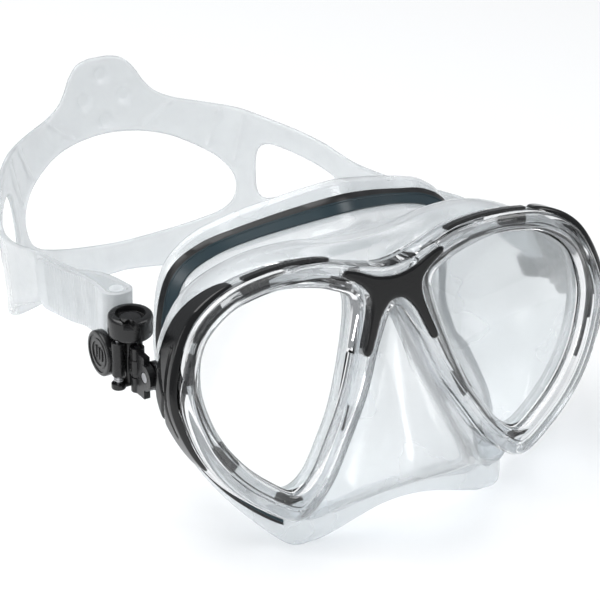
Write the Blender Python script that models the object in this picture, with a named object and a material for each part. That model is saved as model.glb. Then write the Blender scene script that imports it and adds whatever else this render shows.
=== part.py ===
"""Two-lens diving mask with a swivelling strap.

Everything is drawn in millimetres in the mask's own upright frame: the lens plane is y = 0, the
mask looks along -Y, the wearer's right is -X, and +Z is up.  One empty leans the whole mask back,
the way it rests on a table, and brings the lowest edge to z = 0.
"""
import math

import bmesh
import bpy
import numpy as np
from mathutils import Vector
from mathutils.geometry import delaunay_2d_cdt

MM = 0.001
GAP = 0.3                      # clearance between neighbouring pieces

# How the mask rests
LEAN_BACK = math.radians(13.3)
REST_HEIGHT = 61.5             # lens centre above the table
REST_DEPTH = -91.4             # lens plane in front of the middle of the whole object

# Lens pair and frame (x, z) outlines for the wearer's left half
GLASS_OUTLINE = [(16, 15), (16, 22), (21.5, 25.4), (28, 27.8), (40, 30), (52, 29), (61.5, 26), (70.3, 18.3),
                 (73, 7), (71.3, -4), (67, -15), (60, -25), (51.5, -33), (44, -37.5), (37, -34),
                 (29.8, -23), (25, -14), (20, 0)]
FRAME_OUTLINE = [(0, 30), (12, 32.2), (27, 36.7), (45, 37.2), (62, 33.8), (75, 24), (81.8, 5),
                 (78.5, -12.5), (70, -28), (57, -40.6), (43, -48), (31, -39.5), (22, -26), (13.5, -11),
                 (7, 5), (0, 16)]
BRIDGE_OUTLINE = [(0, 26.4), (7, 27.6), (13, 30.4), (18, 32), (19, 30.2), (13.5, 26.4), (10.2, 22.4),
                  (10, 17), (12, 10), (14.2, 2.8), (12, 2), (9.6, 7), (6.8, 13.4), (3.4, 17.6), (0, 18.8)]
FRAME_FRONT = -6.0
FRAME_REAR = 5.0
FRAME_CHAMFER = 1.3
LENS_FRONT = -1.6
LENS_REAR = 1.9
LENS_LEDGE = 2.2               # how far the glass reaches under the frame's lip
POCKET = 5.0                   # rear pocket, measured out from the visible glass
BRIDGE_DEPTH = 3.0
CLIP_CENTRES = (0.10, 0.27, 0.43, 0.58, 0.72, 0.88)
CLIP_SHARE = 0.045             # length of a clip as a share of the lens edge

# Skirt: one row per station, from the top centre round the wearer's left side to the nose
SEAT_INSET = [1.6, 1.6, 1.5, 1.5, 1.6, 2.2, 3.2, 3.2, 2.6, 2.2, 2.0, 1.6, 1.6, 1.6, 1.6, 1.6]
WALL = [(0, 11, 37), (12, 12, 38), (27, 15, 40), (45, 18, 38.5), (62, 22, 31), (71.5, 25, 18), (75, 26, 4),
        (73, 25, -11), (65, 20, -28), (54, 12, -42), (41, 4.5, -51), (27, -6, -46), (22, -11, -42.5),
        (16, -18, -38), (9, -24.5, -34), (0, -25.5, -33)]
SEAL_ROOT = [(0, 22, 37.4), (14, 27, 35.6), (27, 34, 32.8), (40, 40.5, 29.8), (50, 43.5, 25),
             (55, 45.5, 14), (57.5, 44.5, 0), (58.5, 40.5, -14), (57, 33, -27), (52, 22, -39.5),
             (42, 10, -49), (33, 6, -51.5), (26, 3.5, -52), (18, 2, -50.5), (9, 1.5, -49.5),
             (0, 1.5, -49)]
SEAL_EDGE = [(0, 31, 52), (16.5, 38.5, 48.7), (33, 47, 44), (46, 49, 39.6), (55.8, 51.5, 30.5),
             (60.5, 53, 14.5), (62.5, 52, -1.5), (62.8, 47.5, -17), (60, 39, -33), (54, 26, -46.5),
             (43, 10, -59.5), (34, 6.5, -60.5), (26, 4.5, -58.5), (17, 4, -56), (9, 4.5, -54.5),
             (0, 5, -54)]
INNER_LIP = [8, 8, 8, 8, 8, 7, 7, 7, 7, 6, 4, 1.6, 1.2, 1.2, 1.2, 1.2]
STATIONS = 30                  # rows of the tables above, counted right round the mask
NOSE_STATION = 10.5            # stations past this one belong to the nose pocket
SKIRT_WALL = 2.0
SKIRT_SAMPLES = 2
WEB_FRONT = 2.2                # front face of the skirt's lens seats
BAND_STRIP = 6.6               # width of the stiffening band on the seal's flange
BAND_CENTRE = 0.48             # its middle, as a share of the flange's width
BAND_SPLIT = 0.6               # its crease, as a share of its own width
BAND_NARROW = (8.0, 3.4, 0.2)  # station where it starts to narrow, loss of width, shift of its middle
BAND_THICK = 0.9
BAND_CLEAR = 0.5
BAND_CREASE = 0.35             # how far the crease stands proud
BAND_END = 10.0

# Side lug, from the middle of the frame's top round its outer end
LUG_START = 3.75
LUG_END = 7.6
LUG_THICK = 2.3
LUG_FRONT = -3.5
LUG_REAR = 8.2

# Swing axis of the strap, and the buckle frame behind it (u outward, v back, w up)
SWING_Y = 13.0
SWING_Z = 8.0
BUCKLE_PITCH = {-1: math.radians(13.0), 1: math.radians(-11.0)}
EAR_RADIUS = 4.8
EAR_U = (80.0, 82.4)
SWIVEL_U = (82.8, 85.2)
YAW_UV = (83.5, 7.5)
BARREL_RADIUS = 2.3
RING_UV = (82.8, 13.6)
RING_RADIUS = 7.4
RING_W = (9.0, 16.8)
LEVER_UV = (88.5, 11.5)
COIN_CENTRE = (20.2, 0.9)
COIN_RADIUS = 7.75
COIN_U = (88.3, 91.5)
ROLLER_UV = (80.5, 27.9)
ROLLER_RADIUS = 3.0
BAND_MID_W = 9.4
BAND_WIDTH = 18.4

# Strap: plan curve, then edges as (distance from the rear centre, height)
PLAN_HALF_WIDTH = 77.7
PLAN_SIDE_Y = 97.0
PLAN_REAR_Y = 203.0
PLAN_POWER = 2.25
PLAN_SHIFT = -2.0
STRAP_CENTRE = 1.0
STRAP_THICK = 2.0
STRAP_TILT = 0.024             # the loop lies slightly rolled
STRAP_CUT = 146.5
TAIL_END_Y = 95.0
STRAP_TOP = [(0, 72.4), (5, 72.2), (10, 70.4), (14, 66), (17, 60.7), (21, 56.1), (28, 52.5), (39, 49.7),
             (53, 46.5), (64, 42.5), (77, 38), (89, 33.6), (98, 29.8), (108, 27.4), (125, 26.6),
             (STRAP_CUT, 26.8)]
STRAP_BOTTOM = [(STRAP_CUT, 8.4), (135, 6), (113, 1.5), (90, -6), (70, -12.5), (50, -15.6), (30, -15.4),
                (12, -14), (0, -13.2)]
REAR_WINDOW = [(0, 42.3), (13, 41), (24, 38), (34, 33), (43, 27), (48.5, 19.5), (48, 12), (43, 6.5),
               (33, 2.8), (18, -0.2), (0, -1.6)]
SIDE_WINDOW = [(58.5, 28), (62.5, 31.8), (69, 30.8), (82, 26), (91, 21.8), (94, 19.8), (91.5, 18.2),
               (76, 13.4), (62, 10), (58, 11.4), (57, 16)]


# ---------------------------------------------------------------- curves

def catmull(p0, p1, p2, p3, t):
    return 0.5 * (2 * p1 + (p2 - p0) * t + (2 * p0 - 5 * p1 + 4 * p2 - p3) * t ** 2
                  + (3 * p1 - p0 - 3 * p2 + p3) * t ** 3)


def smooth_loop(points, per):
    pts = np.array(points, float)
    n = len(pts)
    return np.array([catmull(pts[i - 1], pts[i], pts[(i + 1) % n], pts[(i + 2) % n], k / per)
                     for i in range(n) for k in range(per)])


def smooth_path(points, per):
    pts = np.array(points, float)
    pts = np.vstack([2 * pts[0] - pts[1], pts, 2 * pts[-1] - pts[-2]])
    rows = [catmull(*pts[i:i + 4], k / per) for i in range(len(pts) - 3) for k in range(per)]
    return np.array(rows + [pts[-2]])


def mirrored(half):
    """A closed loop from its half with x >= 0, whose first and last points lie on x = 0."""
    half = np.array(half, float)
    other = half[-2:0:-1].copy()
    other[:, 0] *= -1
    return np.vstack([half, other])


def mirrored_values(half):
    return np.array(list(half) + list(half[-2:0:-1]), float)


def offset_loop(loop, distance):
    """Moves a closed clockwise (x, z) loop outward; distance is one number or one per point."""
    tangent = np.roll(loop, -1, axis=0) - np.roll(loop, 1, axis=0)
    tangent /= np.linalg.norm(tangent, axis=1)[:, None]
    normal = np.column_stack([-tangent[:, 1], tangent[:, 0]])
    return loop + normal * np.reshape(distance, (-1, 1))


def in_plane(loop, y):
    return [(x, y, z) for x, z in loop]


def glass_loop(side, offset, per=3):
    loop = offset_loop(smooth_loop(GLASS_OUTLINE, per), offset)
    return loop * (side, 1)


def frame_loop(offset, per=4):
    return offset_loop(smooth_loop(mirrored(FRAME_OUTLINE), per), offset)


# ---------------------------------------------------------------- mesh building

class Shell:
    """Collects rings of vertices and joins them into one closed surface."""

    def __init__(self):
        self.bm = bmesh.new()

    def ring(self, points):
        return [self.bm.verts.new(Vector(p)) for p in points]

    def bridge(self, a, b):
        for i in range(len(a)):
            j = (i + 1) % len(a)
            self.bm.faces.new((a[i], a[j], b[j], b[i]))

    def fill(self, *rings):
        edges = []
        for ring in rings:
            for i, vert in enumerate(ring):
                pair = (vert, ring[(i + 1) % len(ring)])
                edges.append(self.bm.edges.get(pair) or self.bm.edges.new(pair))
        bmesh.ops.triangle_fill(self.bm, use_beauty=True, edges=edges)

    def loft(self, sections):
        rings = [self.ring(s) for s in sections]
        for a, b in zip(rings, rings[1:]):
            self.bridge(a, b)
        self.fill(rings[0])
        self.fill(rings[-1])


def finish(shell, name, colour, parent, origin=(0, 0, 0), smooth=30.0, alpha=1.0, metallic=0.0,
           rough=0.35):
    """Turns a shell into a named object whose origin is at the given point of its parent's frame."""
    bm = shell.bm
    bmesh.ops.recalc_face_normals(bm, faces=bm.faces)
    bmesh.ops.translate(bm, vec=-Vector(origin), verts=bm.verts)
    bmesh.ops.scale(bm, vec=(MM, MM, MM), verts=bm.verts)
    mesh = bpy.data.meshes.new(name)
    bm.to_mesh(mesh)
    bm.free()
    if mesh.polygons and sum_volume(mesh) < 0:
        mesh.flip_normals()
    mesh.shade_smooth()
    mesh.set_sharp_from_angle(angle=math.radians(smooth))
    obj = bpy.data.objects.new(name, mesh)
    obj.location = Vector(origin) * MM
    obj.parent = parent
    bpy.context.collection.objects.link(obj)
    if colour is not None:
        mesh.materials.append(material(name, colour, alpha, metallic, rough))
    return obj


def sum_volume(mesh):
    total = 0.0
    for poly in mesh.polygons:
        corners = [mesh.vertices[i].co for i in poly.vertices]
        for b, c in zip(corners[1:], corners[2:]):
            total += corners[0].dot(b.cross(c))
    return total


def material(name, colour, alpha, metallic, rough):
    mat = bpy.data.materials.new(name)
    mat.use_nodes = True
    bsdf = mat.node_tree.nodes["Principled BSDF"]
    bsdf.inputs["Base Color"].default_value = (*colour, 1)
    bsdf.inputs["Roughness"].default_value = rough
    bsdf.inputs["Metallic"].default_value = metallic
    bsdf.inputs["Alpha"].default_value = alpha
    mat.diffuse_color = (*colour, alpha)
    return mat


def empty(name, parent, location, pitch=0.0):
    obj = bpy.data.objects.new(name, None)
    obj.parent = parent
    obj.location = Vector(location) * MM
    obj.rotation_euler = (pitch, 0, 0)
    bpy.context.collection.objects.link(obj)
    return obj


def combine(obj, tool, operation):
    """Joins or cuts obj with a hidden tool that stays editable."""
    tool.hide_render = True
    tool.display_type = 'WIRE'
    mod = obj.modifiers.new(tool.name, 'BOOLEAN')
    mod.operation = operation
    mod.solver = 'EXACT'
    mod.object = tool


def box_shell(side, u, v, w):
    shell = Shell()
    corners = [[(side * a, b, c) for b, c in ((v[0], w[0]), (v[1], w[0]), (v[1], w[1]), (v[0], w[1]))]
               for a in u]
    shell.loft(corners)
    return shell


def circle(centre, radius, count, turn=0.0):
    return [(centre[0] + radius * math.cos(turn + 2 * math.pi * k / count),
             centre[1] + radius * math.sin(turn + 2 * math.pi * k / count)) for k in range(count)]


def post_shell(side, uv, profile, count=20):
    """A turned solid on an upright axis; profile is (radius, w) from the bottom centre to the top."""
    shell = Shell()
    shell.loft([[(side * a, b, w) for a, b in circle(uv, r, count)] for r, w in profile])
    return shell


def disc_shell(side, vw, profile, count=24):
    """A turned solid on a sideways axis; profile is (radius, u) from the inside out."""
    shell = Shell()
    shell.loft([[(side * u, a, b) for a, b in circle(vw, r, count)] for r, u in profile])
    return shell


def tube_shell(side, uv, radius, bore, w, count=20):
    shell = Shell()
    outer = [shell.ring([(side * a, b, c) for a, b in circle(uv, radius, count)]) for c in w]
    inner = [shell.ring([(side * a, b, c) for a, b in circle(uv, bore, count)]) for c in w]
    shell.bridge(outer[0], outer[1])
    shell.bridge(inner[1], inner[0])
    shell.bridge(outer[0], inner[0])
    shell.bridge(outer[1], inner[1])
    return shell


# ---------------------------------------------------------------- mask front

def build_frame(root):
    shell = Shell()
    edge = frame_loop(0)
    face = shell.ring(in_plane(frame_loop(-FRAME_CHAMFER), FRAME_FRONT))
    shoulder = shell.ring(in_plane(edge, FRAME_FRONT + FRAME_CHAMFER))
    rear = shell.ring(in_plane(edge, FRAME_REAR))
    shell.bridge(face, shoulder)
    shell.bridge(shoulder, rear)
    front_holes = []
    rear_holes = []
    for side in (-1, 1):
        mouth = shell.ring(in_plane(glass_loop(side, 0.9), FRAME_FRONT))
        lip = shell.ring(in_plane(glass_loop(side, 0), LENS_FRONT - GAP))
        ledge = shell.ring(in_plane(glass_loop(side, POCKET), LENS_FRONT - GAP))
        back = shell.ring(in_plane(glass_loop(side, POCKET), FRAME_REAR))
        shell.bridge(mouth, lip)
        shell.bridge(lip, ledge)
        shell.bridge(ledge, back)
        front_holes.append(mouth)
        rear_holes.append(back)
    inlay = offset_loop(smooth_loop(mirrored(BRIDGE_OUTLINE), 1), GAP)
    top = shell.ring(in_plane(inlay, FRAME_FRONT))
    floor = shell.ring(in_plane(inlay, FRAME_FRONT + BRIDGE_DEPTH + GAP))
    shell.bridge(top, floor)
    shell.fill(floor)
    shell.fill(face, *front_holes, top)
    shell.fill(rear, *rear_holes)
    finish(shell, "front_frame", (0.86, 0.88, 0.88), root, alpha=0.45, rough=0.08)


def build_bridge(root):
    outline = smooth_loop(mirrored(BRIDGE_OUTLINE), 1)
    shell = Shell()
    depths = ((0.0, FRAME_FRONT + BRIDGE_DEPTH), (0.0, FRAME_FRONT - 0.1), (-0.35, FRAME_FRONT - 0.5))
    shell.loft([in_plane(offset_loop(outline, d), y) for d, y in depths])
    finish(shell, "bridge_inlay", (0.015, 0.015, 0.016), root)


def build_lens(root, side, name):
    shell = Shell()
    steps = ((LENS_LEDGE - 0.3, LENS_FRONT), (LENS_LEDGE, LENS_FRONT + 0.3),
             (LENS_LEDGE, LENS_REAR - 0.3), (LENS_LEDGE - 0.3, LENS_REAR))
    shell.loft([in_plane(glass_loop(side, d), y) for d, y in steps])
    finish(shell, name, (0.9, 0.95, 0.94), root, alpha=0.2, rough=0.02)


def build_clip(root, side, name, share):
    """One snap clip in the channel outside the glass's edge."""
    inner = glass_loop(side, LENS_LEDGE + GAP, 8)
    outer = glass_loop(side, POCKET - GAP, 8)
    count = len(inner)
    middle = int(share * count)
    half = int(CLIP_SHARE * count / 2)
    shell = Shell()
    sections = []
    for k in (-half, 0, half):
        (xa, za), (xb, zb) = inner[(middle + k) % count], outer[(middle + k) % count]
        sections.append([(xa, LENS_FRONT, za), (xb, LENS_FRONT, zb), (xb, LENS_REAR, zb), (xa, LENS_REAR, za)])
    shell.loft(sections)
    finish(shell, name, (0.02, 0.02, 0.02), root)


def build_top_trim(root, side, name):
    """Thin black rail on the frame's top edge, from the bridge to the side lug."""
    path = offset_loop(smooth_loop(mirrored(FRAME_OUTLINE), 4), GAP)[7:15] * (side, 1)
    outer = offset_loop(smooth_loop(mirrored(FRAME_OUTLINE), 4), GAP + 1.0)[7:15] * (side, 1)
    shell = Shell()
    shell.loft([[(a[0], -4.0, a[1]), (b[0], -3.7, b[1]), (b[0], -0.9, b[1]), (a[0], -0.6, a[1])]
                for a, b in zip(path, outer)])
    finish(shell, name, (0.02, 0.02, 0.02), root)


# ---------------------------------------------------------------- skirt

def nose_share(count, start):
    """1 inside the nose pocket's stations, 0 elsewhere, with a short blend from the start."""
    station = np.arange(count) * (STATIONS / count)
    station = np.where(station > STATIONS / 2, STATIONS - station, station)
    return np.clip((station - start) / 0.8, 0, 1)


def skirt_rings(per):
    """Outer surface of the skirt from the frame to the seal's edge, one row per ring."""
    edge = smooth_loop(mirrored(FRAME_OUTLINE), per)
    inset = smooth_loop(mirrored_values(SEAT_INSET)[:, None], per)[:, 0]
    spread = nose_share(len(edge), NOSE_STATION - 0.8)
    nose = nose_share(len(edge), NOSE_STATION)
    seat = offset_loop(edge, -inset)
    step = offset_loop(edge, -inset + spread * (inset + 0.9))
    throat = offset_loop(edge, -inset + spread * (inset + 1.7))
    wall = smooth_loop(mirrored(WALL), per)
    root = smooth_loop(mirrored(SEAL_ROOT), per)
    rim = smooth_loop(mirrored(SEAL_EDGE), per)
    front = FRAME_REAR + GAP
    step_y = front + 2.0 * (1 - nose)
    throat_y = (front + 3.5) * (1 - nose) - 3.2 * nose
    middle = (wall + root) / 2
    rings = [np.column_stack([seat[:, 0], np.full(len(seat), front), seat[:, 1]]),
             np.column_stack([step[:, 0], step_y, step[:, 1]]),
             np.column_stack([throat[:, 0], throat_y, throat[:, 1]]),
             wall, middle, root, (root + rim) / 2, rim]
    return np.array(rings)


def ring_normals(rings):
    along = np.gradient(rings, axis=0)
    around = np.roll(rings, -1, axis=1) - np.roll(rings, 1, axis=1)
    normal = np.cross(around, along)
    return normal / (np.linalg.norm(normal, axis=2)[:, :, None] + 1e-9)


def build_skirt(root):
    rings = skirt_rings(SKIRT_SAMPLES)
    normal = ring_normals(rings)
    inner = rings - normal * SKIRT_WALL
    back = FRAME_REAR + GAP + SKIRT_WALL
    edge = smooth_loop(mirrored(FRAME_OUTLINE), SKIRT_SAMPLES)
    inset = smooth_loop(mirrored_values(SEAT_INSET)[:, None], SKIRT_SAMPLES)[:, 0]
    seat_inner = in_plane(offset_loop(edge, -inset - SKIRT_WALL), back)
    reach = smooth_loop(mirrored_values(INNER_LIP)[:, None], SKIRT_SAMPLES)
    root_ring = inner[5]
    heading = -root_ring * (1, 0, 1) + np.array([0, 0, -2.0])
    heading /= np.linalg.norm(heading, axis=1)[:, None]
    tip = root_ring + heading * reach + np.array([0, 2.5, 0])
    shell = Shell()
    outer_rings = [shell.ring(r) for r in rings]
    inner_rings = [shell.ring(r) for r in inner[1:5]]
    lip_front = shell.ring(tip - (0, 0.7, 0))
    lip_back = shell.ring(tip + (0, 0.7, 0))
    seal_back = [shell.ring(r) for r in inner[6:8]]
    first = shell.ring(seat_inner)
    chain = outer_rings + seal_back[::-1] + [lip_back, lip_front] + inner_rings[::-1] + [first]
    for a, b in zip(chain, chain[1:]):
        shell.bridge(a, b)
    fronts = []
    backs = []
    for side in (-1, 1):
        base = shell.ring(in_plane(glass_loop(side, POCKET - GAP), FRAME_REAR + GAP))
        top = shell.ring(in_plane(glass_loop(side, POCKET - GAP), WEB_FRONT))
        hole = shell.ring(in_plane(glass_loop(side, 0), WEB_FRONT))
        rear = shell.ring(in_plane(glass_loop(side, 0), back))
        shell.bridge(base, top)
        shell.bridge(top, hole)
        shell.bridge(hole, rear)
        fronts.append(base)
        backs.append(rear)
    shell.fill(outer_rings[0], *fronts)
    shell.fill(first, *backs)
    finish(shell, "skirt", (0.85, 0.87, 0.88), root, alpha=0.5, rough=0.25, smooth=50)


def unit(rows):
    return rows / (np.linalg.norm(rows, axis=-1, keepdims=True) + 1e-9)


def band_rows(groove, rim):
    """Unit direction across the flange, and the band's near and far edges along it in mm."""
    count = len(groove)
    station = np.arange(count) * (STATIONS / count)
    station = np.minimum(station, STATIONS - station)
    start, loss, shift = BAND_NARROW
    narrowed = np.clip((station - start) / (BAND_END - start), 0, 1)
    flange = np.linalg.norm(rim - groove, axis=1)
    middle = flange * (BAND_CENTRE - shift * narrowed)
    half = (BAND_STRIP - loss * narrowed) / 2
    return unit(rim - groove), (middle - half)[:, None], (middle + half)[:, None]


def build_skirt_band(root):
    """Creased stiffening band that lies along the front of the seal's flange, from cheek to cheek."""
    rings = skirt_rings(SKIRT_SAMPLES)
    groove = rings[5]
    across, near, far = band_rows(groove, rings[7])
    around = np.roll(groove, -1, axis=0) - np.roll(groove, 1, axis=0)
    away = unit(np.cross(around, across))
    crease = near + (far - near) * BAND_SPLIT
    heights = (BAND_CLEAR, BAND_CLEAR + BAND_CREASE, BAND_CLEAR)
    low = [groove + across * reach + away * h for reach, h in zip((near, crease, far), heights)]
    high = [row + away * BAND_THICK for row in low]
    last = int(BAND_END * len(groove) / STATIONS)
    shell = Shell()
    shell.loft([[low[0][k], low[1][k], low[2][k], high[2][k], high[1][k], high[0][k]]
                for k in range(-last, last + 1)])
    finish(shell, "skirt_band", (0.02, 0.05, 0.065), root, smooth=40)


# ---------------------------------------------------------------- side lugs

def build_lug(root, side, name):
    """Black horn-shaped holder round the frame's outer end, with an ear for the swivel."""
    per = 5
    edge = smooth_loop(mirrored(FRAME_OUTLINE), per)
    first = int(LUG_START * per)
    last = int(LUG_END * per)
    shell = Shell()
    sections = []
    for k in range(first, last + 1):
        share = (k - first) / (last - first)
        body = math.sin(math.pi * share) ** 0.6
        thick = 0.7 + (LUG_THICK - 0.7) * body
        rear = 1.5 + (LUG_REAR - 1.5) * body
        front = LUG_FRONT + 0.6 * (1 - body)
        inner = offset_loop(edge, GAP)[k] * (side, 1)
        outer = offset_loop(edge, GAP + thick)[k] * (side, 1)
        sections.append([(inner[0], front, inner[1]), (outer[0], front + 0.5, outer[1]),
                         (outer[0], rear - 0.5, outer[1]), (inner[0], rear, inner[1])])
    shell.loft(sections)
    obj = finish(shell, name, (0.018, 0.018, 0.02), root, smooth=45)
    tools = []
    ear = disc_shell(side, (SWING_Y, SWING_Z), [(EAR_RADIUS, EAR_U[0]), (EAR_RADIUS, EAR_U[1])])
    tools.append((ear, 'UNION'))
    web = box_shell(side, (EAR_U[0], EAR_U[1] + 0.5), (FRAME_REAR + GAP + 0.1, SWING_Y - 1),
                    (SWING_Z - 4.4, SWING_Z + 4.4))
    web_tip = box_shell(side, (EAR_U[0], 83.2), (FRAME_REAR + GAP + 0.1, LUG_REAR - 0.3),
                        (SWING_Z - 5.5, SWING_Z + 4.4))
    tools.append((web, 'UNION'))
    tools.append((web_tip, 'UNION'))
    relief = box_shell(side, (EAR_U[1] + 0.05, 90), (LUG_REAR + 0.01, 30), (SWING_Z - 12, SWING_Z + 12))
    tools.append((relief, 'DIFFERENCE'))
    bore = disc_shell(side, (SWING_Y, SWING_Z), [(2.2, EAR_U[0] - 2), (2.2, EAR_U[1] + 4)])
    tools.append((bore, 'DIFFERENCE'))
    for number, (tool, operation) in enumerate(tools):
        combine(obj, finish(tool, f"{name}_tool_{number}", None, root), operation)


# ---------------------------------------------------------------- buckle pieces

def build_swivel(frame, side, name):
    shell = disc_shell(side, (0, 0), [(4.5, SWIVEL_U[0]), (4.5, SWIVEL_U[1])])
    obj = finish(shell, name, (0.02, 0.02, 0.022), frame)
    u, v = YAW_UV
    stop = YAW_UV[1] - BARREL_RADIUS - GAP
    parts = [(box_shell(side, (SWIVEL_U[0] + 0.1, SWIVEL_U[1] - 0.1), (0.1, stop), (-8.0, 7.0)), 'UNION')]
    for low, high in ((-8.5, -3.3), (3.3, 7.4)):
        barrel = post_shell(side, (u, v), [(BARREL_RADIUS, low), (BARREL_RADIUS, high)])
        parts.append((barrel, 'UNION'))
        parts.append((box_shell(side, (SWIVEL_U[0] + 0.2, SWIVEL_U[1] - 0.2), (stop - 1.1, v),
                                (low + 0.2, high - 0.2)), 'UNION'))
    parts.append((post_shell(side, (u, v), [(1.2, -10), (1.2, 10)], 12), 'DIFFERENCE'))
    parts.append((disc_shell(side, (0, 0), [(2.0, SWIVEL_U[0] - 2), (2.0, SWIVEL_U[1] + 2)], 16),
                  'DIFFERENCE'))
    for number, (tool, operation) in enumerate(parts):
        combine(obj, finish(tool, f"{name}_tool_{number}", None, frame), operation)


def build_swivel_pin(frame, side, name):
    profile = [(3.1, EAR_U[0] - 0.9), (3.1, EAR_U[0] - 0.25), (1.75, EAR_U[0] - 0.25),
               (1.75, SWIVEL_U[1] - 0.1)]
    finish(disc_shell(side, (0, 0), profile, 16), name, (0.6, 0.6, 0.62), frame, metallic=1.0)


def build_buckle_body(frame, side, name):
    u, v = YAW_UV
    origin = (side * u, v, 0)
    ring = post_shell(side, RING_UV, [(RING_RADIUS - 0.8, RING_W[0]), (RING_RADIUS, RING_W[0] + 1.0),
                                      (RING_RADIUS, RING_W[1] - 0.8), (RING_RADIUS - 0.8, RING_W[1])], 28)
    obj = finish(ring, name, (0.02, 0.02, 0.022), frame, origin)
    clear = v + BARREL_RADIUS + GAP
    parts = [
        (post_shell(side, RING_UV, [(5.1, RING_W[1] - 1.6), (5.1, RING_W[1] + 2)], 24), 'DIFFERENCE'),
        (post_shell(side, RING_UV, [(4.3, RING_W[1] - 2.2), (4.3, RING_W[1] - 1.2),
                                    (2.6, RING_W[1] - 0.7)], 20), 'UNION'),
        (box_shell(side, (80.2, 85.7), (clear, 13.2), (-7.8, 9.8)), 'UNION'),
        (box_shell(side, (79.4, 85.9), (clear + 0.1, 21.0), (-8.4, 2.2)), 'UNION'),
        (box_shell(side, (77.8, 83.4), (20.0, 27.9), (-6.4, -2.4)), 'UNION'),
        (post_shell(side, ROLLER_UV, [(4.4, -6.5), (4.4, -2.3)]), 'UNION'),
        (post_shell(side, (u, v), [(BARREL_RADIUS, -3.0), (BARREL_RADIUS, 3.0)]), 'UNION'),
        (box_shell(side, (u - 2.0, u + 2.0), (v, clear + 1), (-2.9, 2.9)), 'UNION'),
        (post_shell(side, LEVER_UV, [(2.4, -8.3), (2.4, -6.4)], 16), 'UNION'),
        (box_shell(side, (84.5, LEVER_UV[0]), (clear + 0.2, 13.7), (-8.2, -6.5)), 'UNION'),
        (post_shell(side, (82.8, 17.2), [(2.0, -10.6), (3.3, -9.6), (3.5, -8.0)], 16), 'UNION'),
        (post_shell(side, (u, v), [(1.2, -10), (1.2, 10)], 12), 'DIFFERENCE'),
        (post_shell(side, ROLLER_UV, [(1.25, -8), (1.25, 0)], 12), 'DIFFERENCE'),
        (post_shell(side, LEVER_UV, [(0.95, -9), (0.95, RING_W[0] + 1.6)], 12), 'DIFFERENCE'),
        (box_shell(side, (84.6, 87.4), (7.4, 11.6), (RING_W[1] - 2.2, RING_W[1] + 1)), 'DIFFERENCE'),
    ]
    for number, (tool, operation) in enumerate(parts):
        combine(obj, finish(tool, f"{name}_tool_{number}", None, frame), operation)


def build_lever(frame, side, name):
    u, v = LEVER_UV
    shell = disc_shell(side, COIN_CENTRE, [(COIN_RADIUS - 0.4, COIN_U[0]), (COIN_RADIUS, COIN_U[0] + 0.5),
                                           (COIN_RADIUS, COIN_U[1] - 0.6), (COIN_RADIUS - 0.8, COIN_U[1])],
                       28)
    obj = finish(shell, name, (0.02, 0.02, 0.022), frame, (side * u, v, 0))
    parts = [(post_shell(side, (u, v), [(2.1, -3.6), (2.1, 8.5)], 16), 'UNION'),
             (box_shell(side, (u, u + 2.0), (v, 17.5), (-3.3, 5.8)), 'UNION'),
             (post_shell(side, (u, v), [(0.95, -6), (0.95, 12)], 12), 'DIFFERENCE')]
    for number, (tool, operation) in enumerate(parts):
        combine(obj, finish(tool, f"{name}_tool_{number}", None, frame), operation)


def build_lever_spring(frame, side, name):
    """Torsion spring round the lever's pin, below the lever."""
    u, v = LEVER_UV
    turns = 2.4
    steps = 24
    shell = Shell()
    sections = []
    for k in range(steps + 1):
        angle = 2 * math.pi * turns * k / steps
        out = Vector((side * math.cos(angle), math.sin(angle), 0))
        centre = Vector((side * u, v, -5.85 + 0.78 * turns * k / steps)) + out * 1.45
        sections.append([centre + out * 0.25 * math.cos(a) + Vector((0, 0, 0.25 * math.sin(a)))
                         for a in (0.8, 2.4, 3.9, 5.5)])
    shell.loft(sections)
    finish(shell, name, (0.7, 0.7, 0.72), frame, metallic=1.0, smooth=60)


def build_roller(frame, side, name):
    u, v = ROLLER_UV
    shell = tube_shell(side, ROLLER_UV, ROLLER_RADIUS, 1.45, (-1.9, 17.6))
    finish(shell, name, (0.86, 0.88, 0.88), frame, (side * u, v, 0), alpha=0.45, rough=0.15)


def build_pins(frame, side, prefix):
    u, v = YAW_UV
    steel = dict(metallic=1.0, rough=0.3)
    hinge = post_shell(side, YAW_UV, [(1.0, -8.4), (1.0, 7.3)], 12)
    finish(hinge, f"{prefix}_hinge_pin", (0.6, 0.6, 0.62), frame, (side * u, v, 0), **steel)
    axle = post_shell(side, ROLLER_UV, [(1.05, -6.4), (1.05, 17.9), (2.5, 17.9), (2.5, 18.5)], 12)
    finish(axle, f"{prefix}_roller_axle", (0.86, 0.88, 0.88), frame,
           (side * ROLLER_UV[0], ROLLER_UV[1], 0), alpha=0.45, rough=0.15)
    lever = post_shell(side, LEVER_UV, [(0.75, -8.2), (0.75, RING_W[0] + 1.4)], 12)
    finish(lever, f"{prefix}_release_pin", (0.6, 0.6, 0.62), frame, (side * LEVER_UV[0], LEVER_UV[1], 0),
           **steel)


# ---------------------------------------------------------------- strap

def plan_curve():
    """Plan (x, y) of the strap with its distance from the rear centre, over the rear and sides."""
    angle = np.linspace(0, math.pi / 2, 160)
    x = PLAN_HALF_WIDTH * np.sin(angle) ** (2 / PLAN_POWER)
    y = PLAN_SIDE_Y + (PLAN_REAR_Y - PLAN_SIDE_Y) * np.cos(angle) ** (2 / PLAN_POWER)
    distance = np.concatenate([[0], np.cumsum(np.hypot(np.diff(x), np.diff(y)))])
    full_x = np.concatenate([-x[:0:-1], x]) + PLAN_SHIFT
    full_y = np.concatenate([y[:0:-1], y])
    return np.concatenate([-distance[:0:-1], distance]), full_x, full_y


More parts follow.
